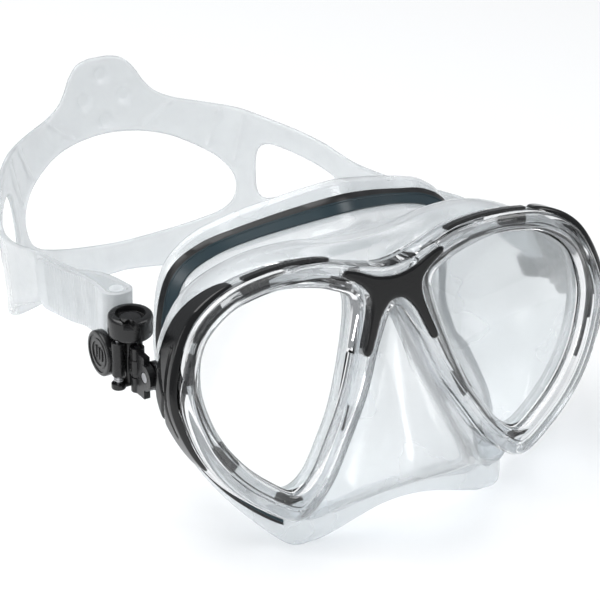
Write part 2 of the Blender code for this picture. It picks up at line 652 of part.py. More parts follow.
def on_strap(points, depth):
    """Places (distance, height) points on the strap, depth outward from its middle surface."""
    distance, x, y = plan_curve()
    s = points[:, 0]
    px = np.interp(s, distance, x)
    py = np.interp(s, distance, y)
    dx = np.interp(s + 1, distance, x) - np.interp(s - 1, distance, x)
    dy = np.interp(s + 1, distance, y) - np.interp(s - 1, distance, y)
    length = np.hypot(dx, dy)
    twist = 3.6 * np.clip((np.abs(s) - 95) / 45, 0, 1) * np.sign(s)
    z = points[:, 1] - STRAP_TILT * px - twist
    return np.column_stack([px - dy / length * depth, py + dx / length * depth, z])


def inside(point, loop):
    x, y = point
    a = np.array(loop)
    b = np.roll(a, -1, axis=0)
    crosses = (a[:, 1] > y) != (b[:, 1] > y)
    with np.errstate(divide='ignore', invalid='ignore'):
        cut = a[:, 0] + (y - a[:, 1]) / (b[:, 1] - a[:, 1]) * (b[:, 0] - a[:, 0])
    return np.count_nonzero(crosses & (x < cut)) % 2 == 1


def resample(loop, spacing):
    """Even spacing along a closed loop."""
    loop = np.vstack([loop, loop[:1]])
    run = np.concatenate([[0], np.cumsum(np.linalg.norm(np.diff(loop, axis=0), axis=1))])
    count = max(8, int(run[-1] / spacing))
    at = np.linspace(0, run[-1], count, endpoint=False)
    return np.column_stack([np.interp(at, run, loop[:, k]) for k in range(loop.shape[1])])


def strap_loops(spacing):
    top = smooth_path(STRAP_TOP, 4)
    bottom = smooth_path(STRAP_BOTTOM, 4)
    half = np.vstack([top, bottom])
    outline = np.vstack([half, (half * (-1, 1))[-2:0:-1]])
    rear = smooth_loop(mirrored(REAR_WINDOW), 4)
    side = smooth_loop(SIDE_WINDOW, 4)
    loops = [outline, rear, side, side * (-1, 1)]
    return [resample(loop, spacing) + (STRAP_CENTRE, 0) for loop in loops]


def build_strap_back(root, spacing=6.5):
    loops = strap_loops(spacing)
    points = [tuple(p) for loop in loops for p in loop]
    edges = []
    start = 0
    for loop in loops:
        count = len(loop)
        edges += [(start + k, start + (k + 1) % count) for k in range(count)]
        start += count
    border = np.array(points)
    for s in np.arange(-STRAP_CUT, STRAP_CUT, spacing):
        for z in np.arange(-18, 74, spacing * 1.3):
            if inside((s, z), loops[0]) and not any(inside((s, z), w) for w in loops[1:]):
                if np.min(np.hypot(border[:, 0] - s, border[:, 1] - z)) > spacing * 0.55:
                    points.append((s, z))
    verts, _, faces, _, _, _ = delaunay_2d_cdt([Vector(p) for p in points], edges, [], 0, 1e-4)
    flat = np.array([tuple(v) for v in verts])
    kept = []
    for face in faces:
        middle = flat[list(face)].mean(axis=0)
        if inside(middle, loops[0]) and not any(inside(middle, w) for w in loops[1:]):
            kept.append(face)
    shell = Shell()
    front = shell.ring(on_strap(flat, STRAP_THICK / 2))
    back = shell.ring(on_strap(flat, -STRAP_THICK / 2))
    used = {}
    for face in kept:
        shell.bm.faces.new([front[i] for i in face])
        shell.bm.faces.new([back[i] for i in reversed(face)])
        for a, b in zip(face, list(face[1:]) + [face[0]]):
            used.setdefault(frozenset((a, b)), []).append((a, b))
    for uses in used.values():
        if len(uses) == 1:
            a, b = uses[0]
            shell.bm.faces.new((front[b], front[a], back[a], back[b]))
    loose = [v for v in shell.bm.verts if not v.link_faces]
    bmesh.ops.delete(shell.bm, geom=loose, context='VERTS')
    origin = (0, SWING_Y, SWING_Z)
    finish(shell, "strap_back", (0.86, 0.88, 0.89), root, origin, alpha=0.5, smooth=50)


def buckle_point(side, u, v, w):
    """A point of the buckle frame, in the mask's frame."""
    pitch = BUCKLE_PITCH[side]
    y = SWING_Y + v * math.cos(pitch) - w * math.sin(pitch)
    z = SWING_Z + v * math.sin(pitch) + w * math.cos(pitch)
    return np.array([side * u, y, z])


def build_strap_end(root, side, name):
    """Strap end that wraps the roller and folds back outside itself."""
    distance, x, y = plan_curve()
    cut = side * (STRAP_CUT + 0.6)
    start = on_strap(np.array([[cut + STRAP_CENTRE, (STRAP_TOP[-1][1] + STRAP_BOTTOM[0][1]) / 2]]), 0)[0]
    middle = buckle_point(side, *ROLLER_UV, BAND_MID_W)
    wrap = ROLLER_RADIUS + GAP + STRAP_THICK / 2
    bx, by = abs(middle[0]), middle[1]
    sx = abs(start[0])
    inner = [(sx, start[1]), (sx + 0.2, 80), (sx + 0.1, 66), (bx - wrap + 1.6, 53)]
    arc = [(bx - wrap * math.cos(a), by - wrap * math.sin(a)) for a in np.linspace(0, math.pi, 9)]
    apart = STRAP_THICK + GAP + 0.15
    outer = [(bx + wrap - 1.4, 53), (sx + 0.2 + apart, 66), (sx + 0.2 + apart, 80), (sx + apart, TAIL_END_Y)]
    line = np.vstack([smooth_path(inner, 3), arc, smooth_path(outer, 3)])
    line[:, 0] *= side
    step = np.gradient(line, axis=0)
    step /= np.linalg.norm(step, axis=1)[:, None]
    normal = np.column_stack([-step[:, 1], step[:, 0]])
    pitch = BUCKLE_PITCH[side]
    shell = Shell()
    sections = []
    for k, ((px, py), (nx, ny)) in enumerate(zip(line, normal)):
        share = np.clip((72 - py) / (72 - by - 2), 0, 1)
        share = share * share * (3 - 2 * share)
        lift = start[2] * (1 - share) + (middle[2] + (py - by) * math.sin(pitch) * 0.6) * share
        lean = -math.tan(pitch) * share
        half = BAND_WIDTH / 2
        if k >= len(line) - 3:
            half -= (0, 0.9, 3.4)[k - len(line) + 3]
        rows = []
        for w, d in ((-half, -1), (half, -1), (half, 1), (-half, 1)):
            rows.append((px + nx * d * STRAP_THICK / 2, py + ny * d * STRAP_THICK / 2 + w * lean, lift + w))
        sections.append(rows)
    shell.loft(sections)
    origin = buckle_point(side, *YAW_UV, 0)
    finish(shell, name, (0.86, 0.88, 0.89), root, tuple(origin), alpha=0.5, smooth=50)


# ---------------------------------------------------------------- assembly

def main():
    for obj in list(bpy.data.objects):
        bpy.data.objects.remove(obj, do_unlink=True)
    root = empty("mask_rest", None, (0, REST_DEPTH, REST_HEIGHT), -LEAN_BACK)
    build_frame(root)
    build_bridge(root)
    build_skirt(root)
    build_skirt_band(root)
    build_strap_back(root)
    for side, word in ((-1, "right"), (1, "left")):
        build_lens(root, side, f"{word}_lens")
        for number, share in enumerate(CLIP_CENTRES, 1):
            build_clip(root, side, f"{word}_lens_clip_{number}", share)
        build_top_trim(root, side, f"{word}_top_trim")
        build_lug(root, side, f"{word}_side_lug")
        frame = empty(f"{word}_buckle_frame", root, (0, SWING_Y, SWING_Z), BUCKLE_PITCH[side])
        build_swivel(frame, side, f"{word}_swivel")
        build_swivel_pin(frame, side, f"{word}_swivel_pin")
        build_buckle_body(frame, side, f"{word}_buckle_body")
        build_lever(frame, side, f"{word}_release_button")
        build_lever_spring(frame, side, f"{word}_release_spring")
        build_roller(frame, side, f"{word}_strap_roller")
        build_pins(frame, side, word)
        build_strap_end(root, side, f"{word}_strap_end")


main()
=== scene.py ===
"""Looks of the two-lens diving mask: clear frame and skirt, black fittings and silicone strap.

The pieces are drawn in millimetres in the mask's own upright frame, as the part is: lens plane at
y = 0, +X to the wearer's left, +Z up.  REST leans that frame back and stands it on the floor.
"""
import math

import bmesh
import bpy
import numpy as np
from mathutils import Matrix, Vector
from mathutils.geometry import delaunay_2d_cdt


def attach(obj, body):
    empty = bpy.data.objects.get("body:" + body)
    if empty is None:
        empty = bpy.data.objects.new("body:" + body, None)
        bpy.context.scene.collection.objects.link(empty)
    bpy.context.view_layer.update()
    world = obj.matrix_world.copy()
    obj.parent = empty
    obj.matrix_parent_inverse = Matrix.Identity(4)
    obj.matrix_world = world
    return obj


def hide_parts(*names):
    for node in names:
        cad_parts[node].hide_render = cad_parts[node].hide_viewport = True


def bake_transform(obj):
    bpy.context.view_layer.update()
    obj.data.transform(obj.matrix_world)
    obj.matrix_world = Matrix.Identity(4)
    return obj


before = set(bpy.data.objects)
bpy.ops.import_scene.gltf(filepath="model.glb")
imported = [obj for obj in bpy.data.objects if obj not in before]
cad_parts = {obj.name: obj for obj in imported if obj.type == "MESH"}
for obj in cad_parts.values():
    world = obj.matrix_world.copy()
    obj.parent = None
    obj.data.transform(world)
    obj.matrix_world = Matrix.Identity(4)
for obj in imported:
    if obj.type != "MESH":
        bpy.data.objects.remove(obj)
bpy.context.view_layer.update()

MM = 0.001
GAP = 0.3
REST = Matrix.Translation((0, -0.0914, 0.0615)) @ Matrix.Rotation(-math.radians(13.3), 4, 'X')

# ---- outlines, as (x, z) of the wearer's left half
GLASS_OUTLINE = [(16, 15), (16, 22), (21.5, 25.4), (28, 27.8), (40, 30), (52, 29), (61.5, 26), (70.3, 18.3),
                 (73, 7), (71.3, -4), (67, -15), (60, -25), (51.5, -33), (44, -37.5), (37, -34),
                 (29.8, -23), (25, -14), (20, 0)]
FRAME_OUTLINE = [(0, 30), (12, 32.2), (27, 36.7), (45, 37.2), (62, 33.8), (75, 24), (81.8, 5),
                 (78.5, -12.5), (70, -28), (57, -40.6), (43, -48), (31, -39.5), (22, -26), (13.5, -11),
                 (7, 5), (0, 16)]
BRIDGE_OUTLINE = [(0, 26.4), (7, 27.6), (13, 30.4), (18, 32), (19, 30.2), (13.5, 26.4), (10.2, 22.4),
                  (10, 17), (12, 10), (14.2, 2.8), (12, 2), (9.6, 7), (6.8, 13.4), (3.4, 17.6), (0, 18.8)]
FRAME_FRONT = -6.0
FRAME_REAR = 5.0
LENS_FRONT = -1.6
LENS_REAR = 1.9
POCKET = 5.0
BRIDGE_DEPTH = 3.0
SEAT_INSET = [1.6, 1.6, 1.5, 1.5, 1.6, 2.2, 3.2, 3.2, 2.6, 2.2, 2.0, 1.6, 1.6, 1.6, 1.6, 1.6]
WALL = [(0, 11, 37), (12, 12, 38), (27, 15, 40), (45, 18, 38.5), (62, 22, 31), (71.5, 25, 18), (75, 26, 4),
        (73, 25, -11), (65, 20, -28), (54, 12, -42), (41, 4.5, -51), (27, -6, -46), (22, -11, -42.5),
        (16, -18, -38), (9, -24.5, -34), (0, -25.5, -33)]
SEAL_ROOT = [(0, 22, 37.4), (14, 27, 35.6), (27, 34, 32.8), (40, 40.5, 29.8), (50, 43.5, 25),
             (55, 45.5, 14), (57.5, 44.5, 0), (58.5, 40.5, -14), (57, 33, -27), (52, 22, -39.5),
             (42, 10, -49), (33, 6, -51.5), (26, 3.5, -52), (18, 2, -50.5), (9, 1.5, -49.5),
             (0, 1.5, -49)]
SEAL_EDGE = [(0, 31, 52), (16.5, 38.5, 48.7), (33, 47, 44), (46, 49, 39.6), (55.8, 51.5, 30.5),
             (60.5, 53, 14.5), (62.5, 52, -1.5), (62.8, 47.5, -17), (60, 39, -33), (54, 26, -46.5),
             (43, 10, -59.5), (34, 6.5, -60.5), (26, 4.5, -58.5), (17, 4, -56), (9, 4.5, -54.5),
             (0, 5, -54)]
INNER_LIP = [8, 8, 8, 8, 8, 7, 7, 7, 7, 6, 4, 1.6, 1.2, 1.2, 1.2, 1.2]
STATIONS = 30
NOSE_STATION = 10.5
SKIRT_WALL = 2.0
WEB_FRONT = 2.2
BAND_STRIP = 6.6
BAND_CENTRE = 0.48
BAND_SPLIT = 0.6
BAND_NARROW = (8.0, 3.4, 0.2)
BAND_THICK = 0.9
BAND_CLEAR = 0.5
BAND_CREASE = 0.35
BAND_END = 10.0
LUG_START = 3.75
LUG_END = 7.6
LUG_THICK = 2.3
LUG_FRONT = -3.5
LUG_REAR = 8.2
LUG_COLUMNS = 26
LUG_GROOVES = (((0.4, -9), (0.4, 19)), ((1.6, 4), (7.2, 15)), ((1.6, 4), (7.2, -7)))
SWING_Y = 13.0
SWING_Z = 8.0
BUCKLE_PITCH = {-1: math.radians(13.0), 1: math.radians(-11.0)}
EAR_U = (80.0, 82.4)
EAR_RADIUS = 4.8
YAW_UV = (83.5, 7.5)
BARREL_RADIUS = 2.3
RING_UV = (82.8, 13.6)
RING_RADIUS = 7.4
RING_W = (9.0, 16.8)
LEVER_UV = (88.5, 11.5)
COIN_CENTRE = (20.2, 0.9)
COIN_RADIUS = 7.75
COIN_U = (88.3, 91.5)
ROLLER_UV = (80.5, 27.9)
ROLLER_RADIUS = 3.0
HINGE_BORE = 1.2
AXLE_BORE = 1.25
LEVER_BORE = 0.95
BAND_MID_W = 9.4
BAND_WIDTH = 18.4
PLAN_HALF_WIDTH = 77.7
PLAN_SIDE_Y = 97.0
PLAN_REAR_Y = 203.0
PLAN_POWER = 2.25
PLAN_SHIFT = -2.0
STRAP_CENTRE = 1.0
STRAP_THICK = 2.0
STRAP_TILT = 0.024
STRAP_CUT = 146.5
TAIL_END_Y = 95.0
TWIST_START_Y = 72.0           # and in front of this it leans over to the roller's tilt
RIB_PITCH = 2.2
RIB_DEPTH = 0.35
TAIL_ROUND = 4.0
STRAP_TOP = [(0, 72.4), (5, 72.2), (10, 70.4), (14, 66), (17, 60.7), (21, 56.1), (28, 52.5), (39, 49.7),
             (53, 46.5), (64, 42.5), (77, 38), (89, 33.6), (98, 29.8), (108, 27.4), (125, 26.6),
             (STRAP_CUT, 26.8)]
STRAP_BOTTOM = [(STRAP_CUT, 8.4), (135, 6), (113, 1.5), (90, -6), (70, -12.5), (50, -15.6), (30, -15.4),
                (12, -14), (0, -13.2)]
REAR_WINDOW = [(0, 42.3), (13, 41), (24, 38), (34, 33), (43, 27), (48.5, 19.5), (48, 12), (43, 6.5),
               (33, 2.8), (18, -0.2), (0, -1.6)]
SIDE_WINDOW = [(58.5, 28), (62.5, 31.8), (69, 30.8), (82, 26), (91, 21.8), (94, 19.8), (91.5, 18.2),
               (76, 13.4), (62, 10), (58, 11.4), (57, 16)]
EDGE_ROWS = (0.45, 1.1, 2.4)
RIDGES = [((27, 51.5), (15, 42.5)), ((46, 46.5), (39, 31.5)), ((55.5, 44), (49.5, 25)),
          ((-27, 51.5), (-15, 42.5)), ((-46, 46.5), (-39, 31.5)), ((-55.5, 44), (-49.5, 25))]
RIDGE_ROWS = (0.4, 0.9)
RIDGE_HEIGHT = 0.35
DIMPLES = [(0, 65.5), (-8.5, 56.5), (8.5, 56.5), (0, 47.7)]
SIDES = ((-1, "right"), (1, "left"))


# ---------------------------------------------------------------- curves

def catmull(p0, p1, p2, p3, t):
    return 0.5 * (2 * p1 + (p2 - p0) * t + (2 * p0 - 5 * p1 + 4 * p2 - p3) * t ** 2
                  + (3 * p1 - p0 - 3 * p2 + p3) * t ** 3)


def smooth_loop(points, per):
    pts = np.array(points, float)
    n = len(pts)
    return np.array([catmull(pts[i - 1], pts[i], pts[(i + 1) % n], pts[(i + 2) % n], k / per)
                     for i in range(n) for k in range(per)])


def smooth_path(points, per):
    pts = np.array(points, float)
    pts = np.concatenate([[2 * pts[0] - pts[1]], pts, [2 * pts[-1] - pts[-2]]])
    rows = [catmull(*pts[i:i + 4], k / per) for i in range(len(pts) - 3) for k in range(per)]
    return np.array(rows + [pts[-2]])


def mirrored(half):
    half = np.array(half, float)
    other = half[-2:0:-1].copy()
    other[:, 0] *= -1
    return np.vstack([half, other])


def mirrored_values(half):
    return np.array(list(half) + list(half[-2:0:-1]), float)


def offset_loop(loop, distance):
    """Moves a closed clockwise loop outward; distance is one number or one per point."""
    tangent = np.roll(loop, -1, axis=0) - np.roll(loop, 1, axis=0)
    tangent /= np.linalg.norm(tangent, axis=1)[:, None]
    normal = np.column_stack([-tangent[:, 1], tangent[:, 0]])
    return loop + normal * np.reshape(distance, (-1, 1))


def in_plane(loop, y):
    return [(x, y, z) for x, z in loop]


def glass_loop(side, offset, per=9):
    return offset_loop(smooth_loop(GLASS_OUTLINE, per), offset) * (side, 1)


def frame_loop(offset, per=10):
    return offset_loop(smooth_loop(mirrored(FRAME_OUTLINE), per), offset)


def unit(rows):
    return rows / (np.linalg.norm(rows, axis=-1, keepdims=True) + 1e-9)


def circle(centre, radius, count):
    return [(centre[0] + radius * math.cos(2 * math.pi * k / count),
             centre[1] + radius * math.sin(2 * math.pi * k / count)) for k in range(count)]


# ---------------------------------------------------------------- mesh building

class Shell:
    """Collects rings of vertices and joins them into one closed surface."""

    def __init__(self):
        self.bm = bmesh.new()

    def ring(self, points):
        return [self.bm.verts.new(Vector(p)) for p in points]

    def bridge(self, a, b, second=()):
        """Joins two rings; the faces listed in second take the second material."""
        for i in range(len(a)):
            j = (i + 1) % len(a)
            face = self.bm.faces.new((a[i], a[j], b[j], b[i]))
            face.material_index = int(i in second)

    def skin(self, rings, second=()):
        for a, b in zip(rings, rings[1:]):
            self.bridge(a, b, second)

    def fill(self, *rings):
        edges = []
        for ring in rings:
            for i, vert in enumerate(ring):
                pair = (vert, ring[(i + 1) % len(ring)])
                edges.append(self.bm.edges.get(pair) or self.bm.edges.new(pair))
        bmesh.ops.triangle_fill(self.bm, use_beauty=True, edges=edges)

    def loft(self, sections):
        rings = [self.ring(s) for s in sections]
        self.skin(rings)
        self.fill(rings[0])
        self.fill(rings[-1])

    def mesh(self, name):
        bmesh.ops.recalc_face_normals(self.bm, faces=self.bm.faces)
        if self.bm.calc_volume(signed=True) < 0:
            bmesh.ops.reverse_faces(self.bm, faces=self.bm.faces)
        mesh = bpy.data.meshes.new(name)
        self.bm.to_mesh(mesh)
        self.bm.free()
        return mesh


def carve(shell, name, steps):
    """Joins and cuts a shell with others, in order, and returns the resulting mesh."""
    obj = bpy.data.objects.new(name, shell.mesh(name))
    bpy.context.collection.objects.link(obj)
    tools = []
    for tool_shell, operation in steps:
        tool = bpy.data.objects.new(name + "_tool", tool_shell.mesh(name + "_tool"))
        bpy.context.collection.objects.link(tool)
        mod = obj.modifiers.new("carve", 'BOOLEAN')
        mod.operation = operation
        mod.solver = 'EXACT'
        mod.object = tool
        tools.append(tool)
    bpy.context.view_layer.update()
    result = bpy.data.meshes.new_from_object(obj.evaluated_get(bpy.context.evaluated_depsgraph_get()))
    for extra in tools + [obj]:
        bpy.data.objects.remove(extra, do_unlink=True)
    return result


def show(mesh, name, body, materials, replaces=(), matrix=REST, smooth=35.0):
    """Places a mesh in the part's frame, with its finish, body and the solids it stands for."""
    mesh.transform(matrix @ Matrix.Scale(MM, 4))
    mesh.shade_smooth()
    mesh.set_sharp_from_angle(angle=math.radians(smooth))
    if len(materials) == 1:
        mesh.materials.clear()
    for mat in materials:
        mesh.materials.append(mat)
    obj = bpy.data.objects.new(name, mesh)
    bpy.context.collection.objects.link(obj)
    if body:
        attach(obj, body)
    if replaces:
        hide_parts(*replaces)
    return obj


def block(side, u, v, w, soft=0.5):
    """A box with softened edges."""
    shell = Shell()
    shell.loft([[(side * a, b, c) for b, c in ((v[0], w[0]), (v[1], w[0]), (v[1], w[1]), (v[0], w[1]))]
                for a in u])
    bmesh.ops.bevel(shell.bm, geom=list(shell.bm.edges), offset=soft, segments=3, profile=0.5,
                    affect='EDGES', clamp_overlap=True)
    return shell


def rounded(profile, soft=0.5):
    """Softens the outer corners of a turned profile of (radius, height)."""
    rows = [profile[0]]
    for (ra, ha), (rb, hb), (rc, hc) in zip(profile, profile[1:], profile[2:]):
        a, b, c = Vector((ra, ha)), Vector((rb, hb)), Vector((rc, hc))
        cut = min(soft, (a - b).length / 2, (c - b).length / 2)
        first = b + (a - b).normalized() * cut
        last = b + (c - b).normalized() * cut
        for t in (0, 0.33, 0.67, 1):
            rows.append(tuple(first * (1 - t) ** 2 + b * 2 * t * (1 - t) + last * t * t))
    rows.append(profile[-1])
    return rows


def post(side, uv, profile, count=48, soft=0.5):
    """A turned solid on an upright axis; the profile is (radius, w) rows, closed on the axis."""
    shell = Shell()
    rows = rounded([(0.02, profile[0][1])] + list(profile) + [(0.02, profile[-1][1])], soft)
    shell.loft([[(side * a, b, w) for a, b in circle(uv, r, count)] for r, w in rows])
    return shell


def disc(side, vw, profile, count=56, soft=0.4):
    """A turned solid on a sideways axis; the profile is (radius, u) rows."""
    shell = Shell()
    rows = rounded([(0.02, profile[0][1])] + list(profile) + [(0.02, profile[-1][1])], soft)
    shell.loft([[(side * u, a, b) for a, b in circle(vw, r, count)] for r, u in rows])
    return shell


# ---------------------------------------------------------------- materials

def new_material(name):
    mat = bpy.data.materials.new(name)
    mat.use_nodes = True
    return mat, mat.node_tree, mat.node_tree.nodes["Principled BSDF"]


def noise_between(nt, low, high, scale, detail=3.0):
    """A noise pattern mapped to the range low to high."""
    coords = nt.nodes.new("ShaderNodeTexCoord")
    noise = nt.nodes.new("ShaderNodeTexNoise")
    noise.inputs["Scale"].default_value = scale
    noise.inputs["Detail"].default_value = detail
    ramp = nt.nodes.new("ShaderNodeMapRange")
    ramp.inputs["To Min"].default_value = low
    ramp.inputs["To Max"].default_value = high
    nt.links.new(coords.outputs["Object"], noise.inputs["Vector"])
    nt.links.new(noise.outputs["Fac"], ramp.inputs["Value"])
    return ramp.outputs["Result"]


def add_bump(nt, bsdf, scale, height, strength=1.0, detail=4.0):
    bump = nt.nodes.new("ShaderNodeBump")
    bump.inputs["Strength"].default_value = strength
    bump.inputs["Distance"].default_value = height
    nt.links.new(noise_between(nt, 0.0, 1.0, scale, detail), bump.inputs["Height"])
    nt.links.new(bump.outputs["Normal"], bsdf.inputs["Normal"])


def soften_shadow(nt, bsdf, tint):
    """Lets lamps shine through, a little dimmed, so that clear pieces cast pale shadows."""
    out = nt.nodes["Material Output"]
    path = nt.nodes.new("ShaderNodeLightPath")
    clear = nt.nodes.new("ShaderNodeBsdfTransparent")
    clear.inputs["Color"].default_value = (*tint, 1)
    mix = nt.nodes.new("ShaderNodeMixShader")
    nt.links.new(path.outputs["Is Shadow Ray"], mix.inputs[0])
    nt.links.new(bsdf.outputs[0], mix.inputs[1])
    nt.links.new(clear.outputs[0], mix.inputs[2])
    nt.links.new(mix.outputs[0], out.inputs["Surface"])


def clear_material(name, colour, ior, rough, grain, tint, bump=(60.0, 0.0002), clear=(1.0, 1.0)):
    """Clear moulding; the clear range sets how milky it turns, in soft clouds."""
    mat, nt, bsdf = new_material(name)
    bsdf.inputs["Base Color"].default_value = (*colour, 1)
    nt.links.new(noise_between(nt, clear[0], clear[1], grain), bsdf.inputs["Transmission Weight"])
    bsdf.inputs["IOR"].default_value = ior
    nt.links.new(noise_between(nt, rough[0], rough[1], grain), bsdf.inputs["Roughness"])
    add_bump(nt, bsdf, bump[0], bump[1])
    soften_shadow(nt, bsdf, tint)
    return mat


def black_material(name, base=0.012, rough=(0.24, 0.4)):
    mat, nt, bsdf = new_material(name)
    bsdf.inputs["Base Color"].default_value = (base, base, base * 1.08, 1)
    nt.links.new(noise_between(nt, rough[0], rough[1], 180.0), bsdf.inputs["Roughness"])
    add_bump(nt, bsdf, 2600.0, 0.00003)
    return mat


def tinted_material(name):
    mat, nt, bsdf = new_material(name)
    bsdf.inputs["Base Color"].default_value = (0.014, 0.032, 0.042, 1)
    nt.links.new(noise_between(nt, 0.28, 0.42, 120.0), bsdf.inputs["Roughness"])
    add_bump(nt, bsdf, 900.0, 0.00004)
    return mat


def steel_material():
    mat, nt, bsdf = new_material("steel_wire")
    bsdf.inputs["Base Color"].default_value = (0.55, 0.55, 0.57, 1)
    bsdf.inputs["Metallic"].default_value = 1.0
    nt.links.new(noise_between(nt, 0.2, 0.42, 900.0), bsdf.inputs["Roughness"])
    add_bump(nt, bsdf, 1500.0, 0.00002)
    return mat


SILICONE = clear_material("skirt_silicone", (0.8, 0.82, 0.83), 1.41, (0.1, 0.2), 40.0, (0.9, 0.91, 0.92),
                          (60.0, 0.0002), (0.66, 0.8))
STRAP_SILICONE = clear_material("strap_silicone", (0.76, 0.78, 0.79), 1.41, (0.16, 0.3), 50.0,
                                (0.88, 0.89, 0.9), (120.0, 0.0003), (0.5, 0.66))
FRAME_CLEAR = clear_material("frame_polycarbonate", (0.93, 0.935, 0.94), 1.58, (0.02, 0.06), 30.0,
                             (0.93, 0.94, 0.95), (25.0, 0.0002))
MILKY_CLEAR = clear_material("milky_polycarbonate", (0.8, 0.82, 0.83), 1.58, (0.1, 0.2), 60.0,
                             (0.9, 0.91, 0.92), (60.0, 0.0002), (0.5, 0.7))
LENS_GLASS = clear_material("lens_glass", (0.985, 0.99, 0.99), 1.5, (0.0, 0.02), 20.0, (0.97, 0.975, 0.975),
                            (8.0, 0.00002))
BAND_INNER = tinted_material("band_teal")
# Near-black copy of the teal band for its outer half: painted shade, not a second colour of the band.
BAND_PAINTED_SHADE = black_material("band_painted_shade", 0.005, (0.3, 0.45))
BLACK = black_material("black_nylon", 0.007, (0.2, 0.34))
BLACK_GLOSS = black_material("black_gloss", 0.004, (0.1, 0.2))
STEEL = steel_material()


# ---------------------------------------------------------------- mask front

def build_frame():
    """Clear moulding with a step line in its face and a rib round its edge."""
    shell = Shell()
    profile = [(-5.4, FRAME_FRONT), (-4.9, -5.5), (-4.1, -5.5), (-3.6, FRAME_FRONT), (-2.0, FRAME_FRONT),
               (-1.0, -5.7), (-0.3, -5.0), (0, -4.0), (0, 1.2), (-0.5, 1.7), (-0.5, 2.5), (0, 3.0),
               (0, 4.5), (-0.5, FRAME_REAR)]
    rings = [shell.ring(in_plane(frame_loop(d), y)) for d, y in profile]
    shell.skin(rings)
    front_holes = []
    rear_holes = []
    steps = [(2.3, FRAME_FRONT), (1.5, -5.6), (1.0, -4.8), (0.6, -2.8), (0, LENS_FRONT - GAP),
             (POCKET, LENS_FRONT - GAP), (POCKET, FRAME_REAR)]
    for side in (-1, 1):
        holes = [shell.ring(in_plane(glass_loop(side, d), y)) for d, y in steps]
        shell.skin(holes)
        front_holes.append(holes[0])
        rear_holes.append(holes[-1])
    inlay = bridge_loop(GAP)
    top = shell.ring(in_plane(inlay, FRAME_FRONT))
    floor = shell.ring(in_plane(inlay, FRAME_FRONT + BRIDGE_DEPTH + GAP))
    shell.bridge(top, floor)
    shell.fill(floor)
    shell.fill(rings[0], *front_holes, top)
    shell.fill(rings[-1], *rear_holes)
    return show(shell.mesh("frame_moulding"), "frame_moulding", "mask",
                [FRAME_CLEAR], ["front_frame"])


def bridge_loop(offset):
    return offset_loop(smooth_loop(mirrored(BRIDGE_OUTLINE), 4), offset)


def build_bridge():
    """Black X over the nose, with softened edges and a raised inner field."""
    shell = Shell()
    steps = ((0.0, FRAME_FRONT + BRIDGE_DEPTH), (0.0, -6.1), (-0.25, -6.4), (-0.7, -6.5), (-1.0, -6.5))
    shell.loft([in_plane(bridge_loop(d), y) for d, y in steps])
    return show(shell.mesh("bridge_cover"), "bridge_cover", "mask", [BLACK_GLOSS],
                ["bridge_inlay"])


def build_lens(side, word):
    shell = Shell()
    steps = ((1.7, LENS_FRONT), (2.05, LENS_FRONT + 0.12), (2.2, LENS_FRONT + 0.5), (2.2, LENS_REAR - 0.5),
             (2.05, LENS_REAR - 0.12), (1.7, LENS_REAR))
    shell.loft([in_plane(glass_loop(side, d), y) for d, y in steps])
    return show(shell.mesh("glass"), f"{word}_glass", "mask", [LENS_GLASS],
                [f"{word}_lens"])


# ---------------------------------------------------------------- skirt

def nose_share(count, start):
    """1 inside the nose pocket's stations, 0 elsewhere, with a short blend from the start."""
    station = np.arange(count) * (STATIONS / count)
    station = np.where(station > STATIONS / 2, STATIONS - station, station)
    return np.clip((station - start) / 0.8, 0, 1)


def skirt_rings(per):
    """Named rings of the skirt's outer surface, from the frame to the seal's edge."""
    edge = smooth_loop(mirrored(FRAME_OUTLINE), per)
    inset = smooth_loop(mirrored_values(SEAT_INSET)[:, None], per)[:, 0]
    spread = nose_share(len(edge), NOSE_STATION - 0.8)
    nose = nose_share(len(edge), NOSE_STATION)
    seat = offset_loop(edge, -inset)
    step = offset_loop(edge, -inset + spread * (inset + 0.9))
    throat = offset_loop(edge, -inset + spread * (inset + 1.7))
    wall = smooth_loop(mirrored(WALL), per)
    root = smooth_loop(mirrored(SEAL_ROOT), per)
    rim = smooth_loop(mirrored(SEAL_EDGE), per)
    front = FRAME_REAR + GAP
    step_y = front + 2.0 * (1 - nose)
    throat_y = (front + 3.5) * (1 - nose) - 3.2 * nose
    middle = (wall + root) / 2
    return [np.column_stack([seat[:, 0], np.full(len(seat), front), seat[:, 1]]),
            np.column_stack([step[:, 0], step_y, step[:, 1]]),
            np.column_stack([throat[:, 0], throat_y, throat[:, 1]]), wall, middle, root, rim]


def ring_normals(rings):
    along = np.gradient(rings, axis=0)
    around = np.roll(rings, -1, axis=1) - np.roll(rings, 1, axis=1)
    return unit(np.cross(around, along))


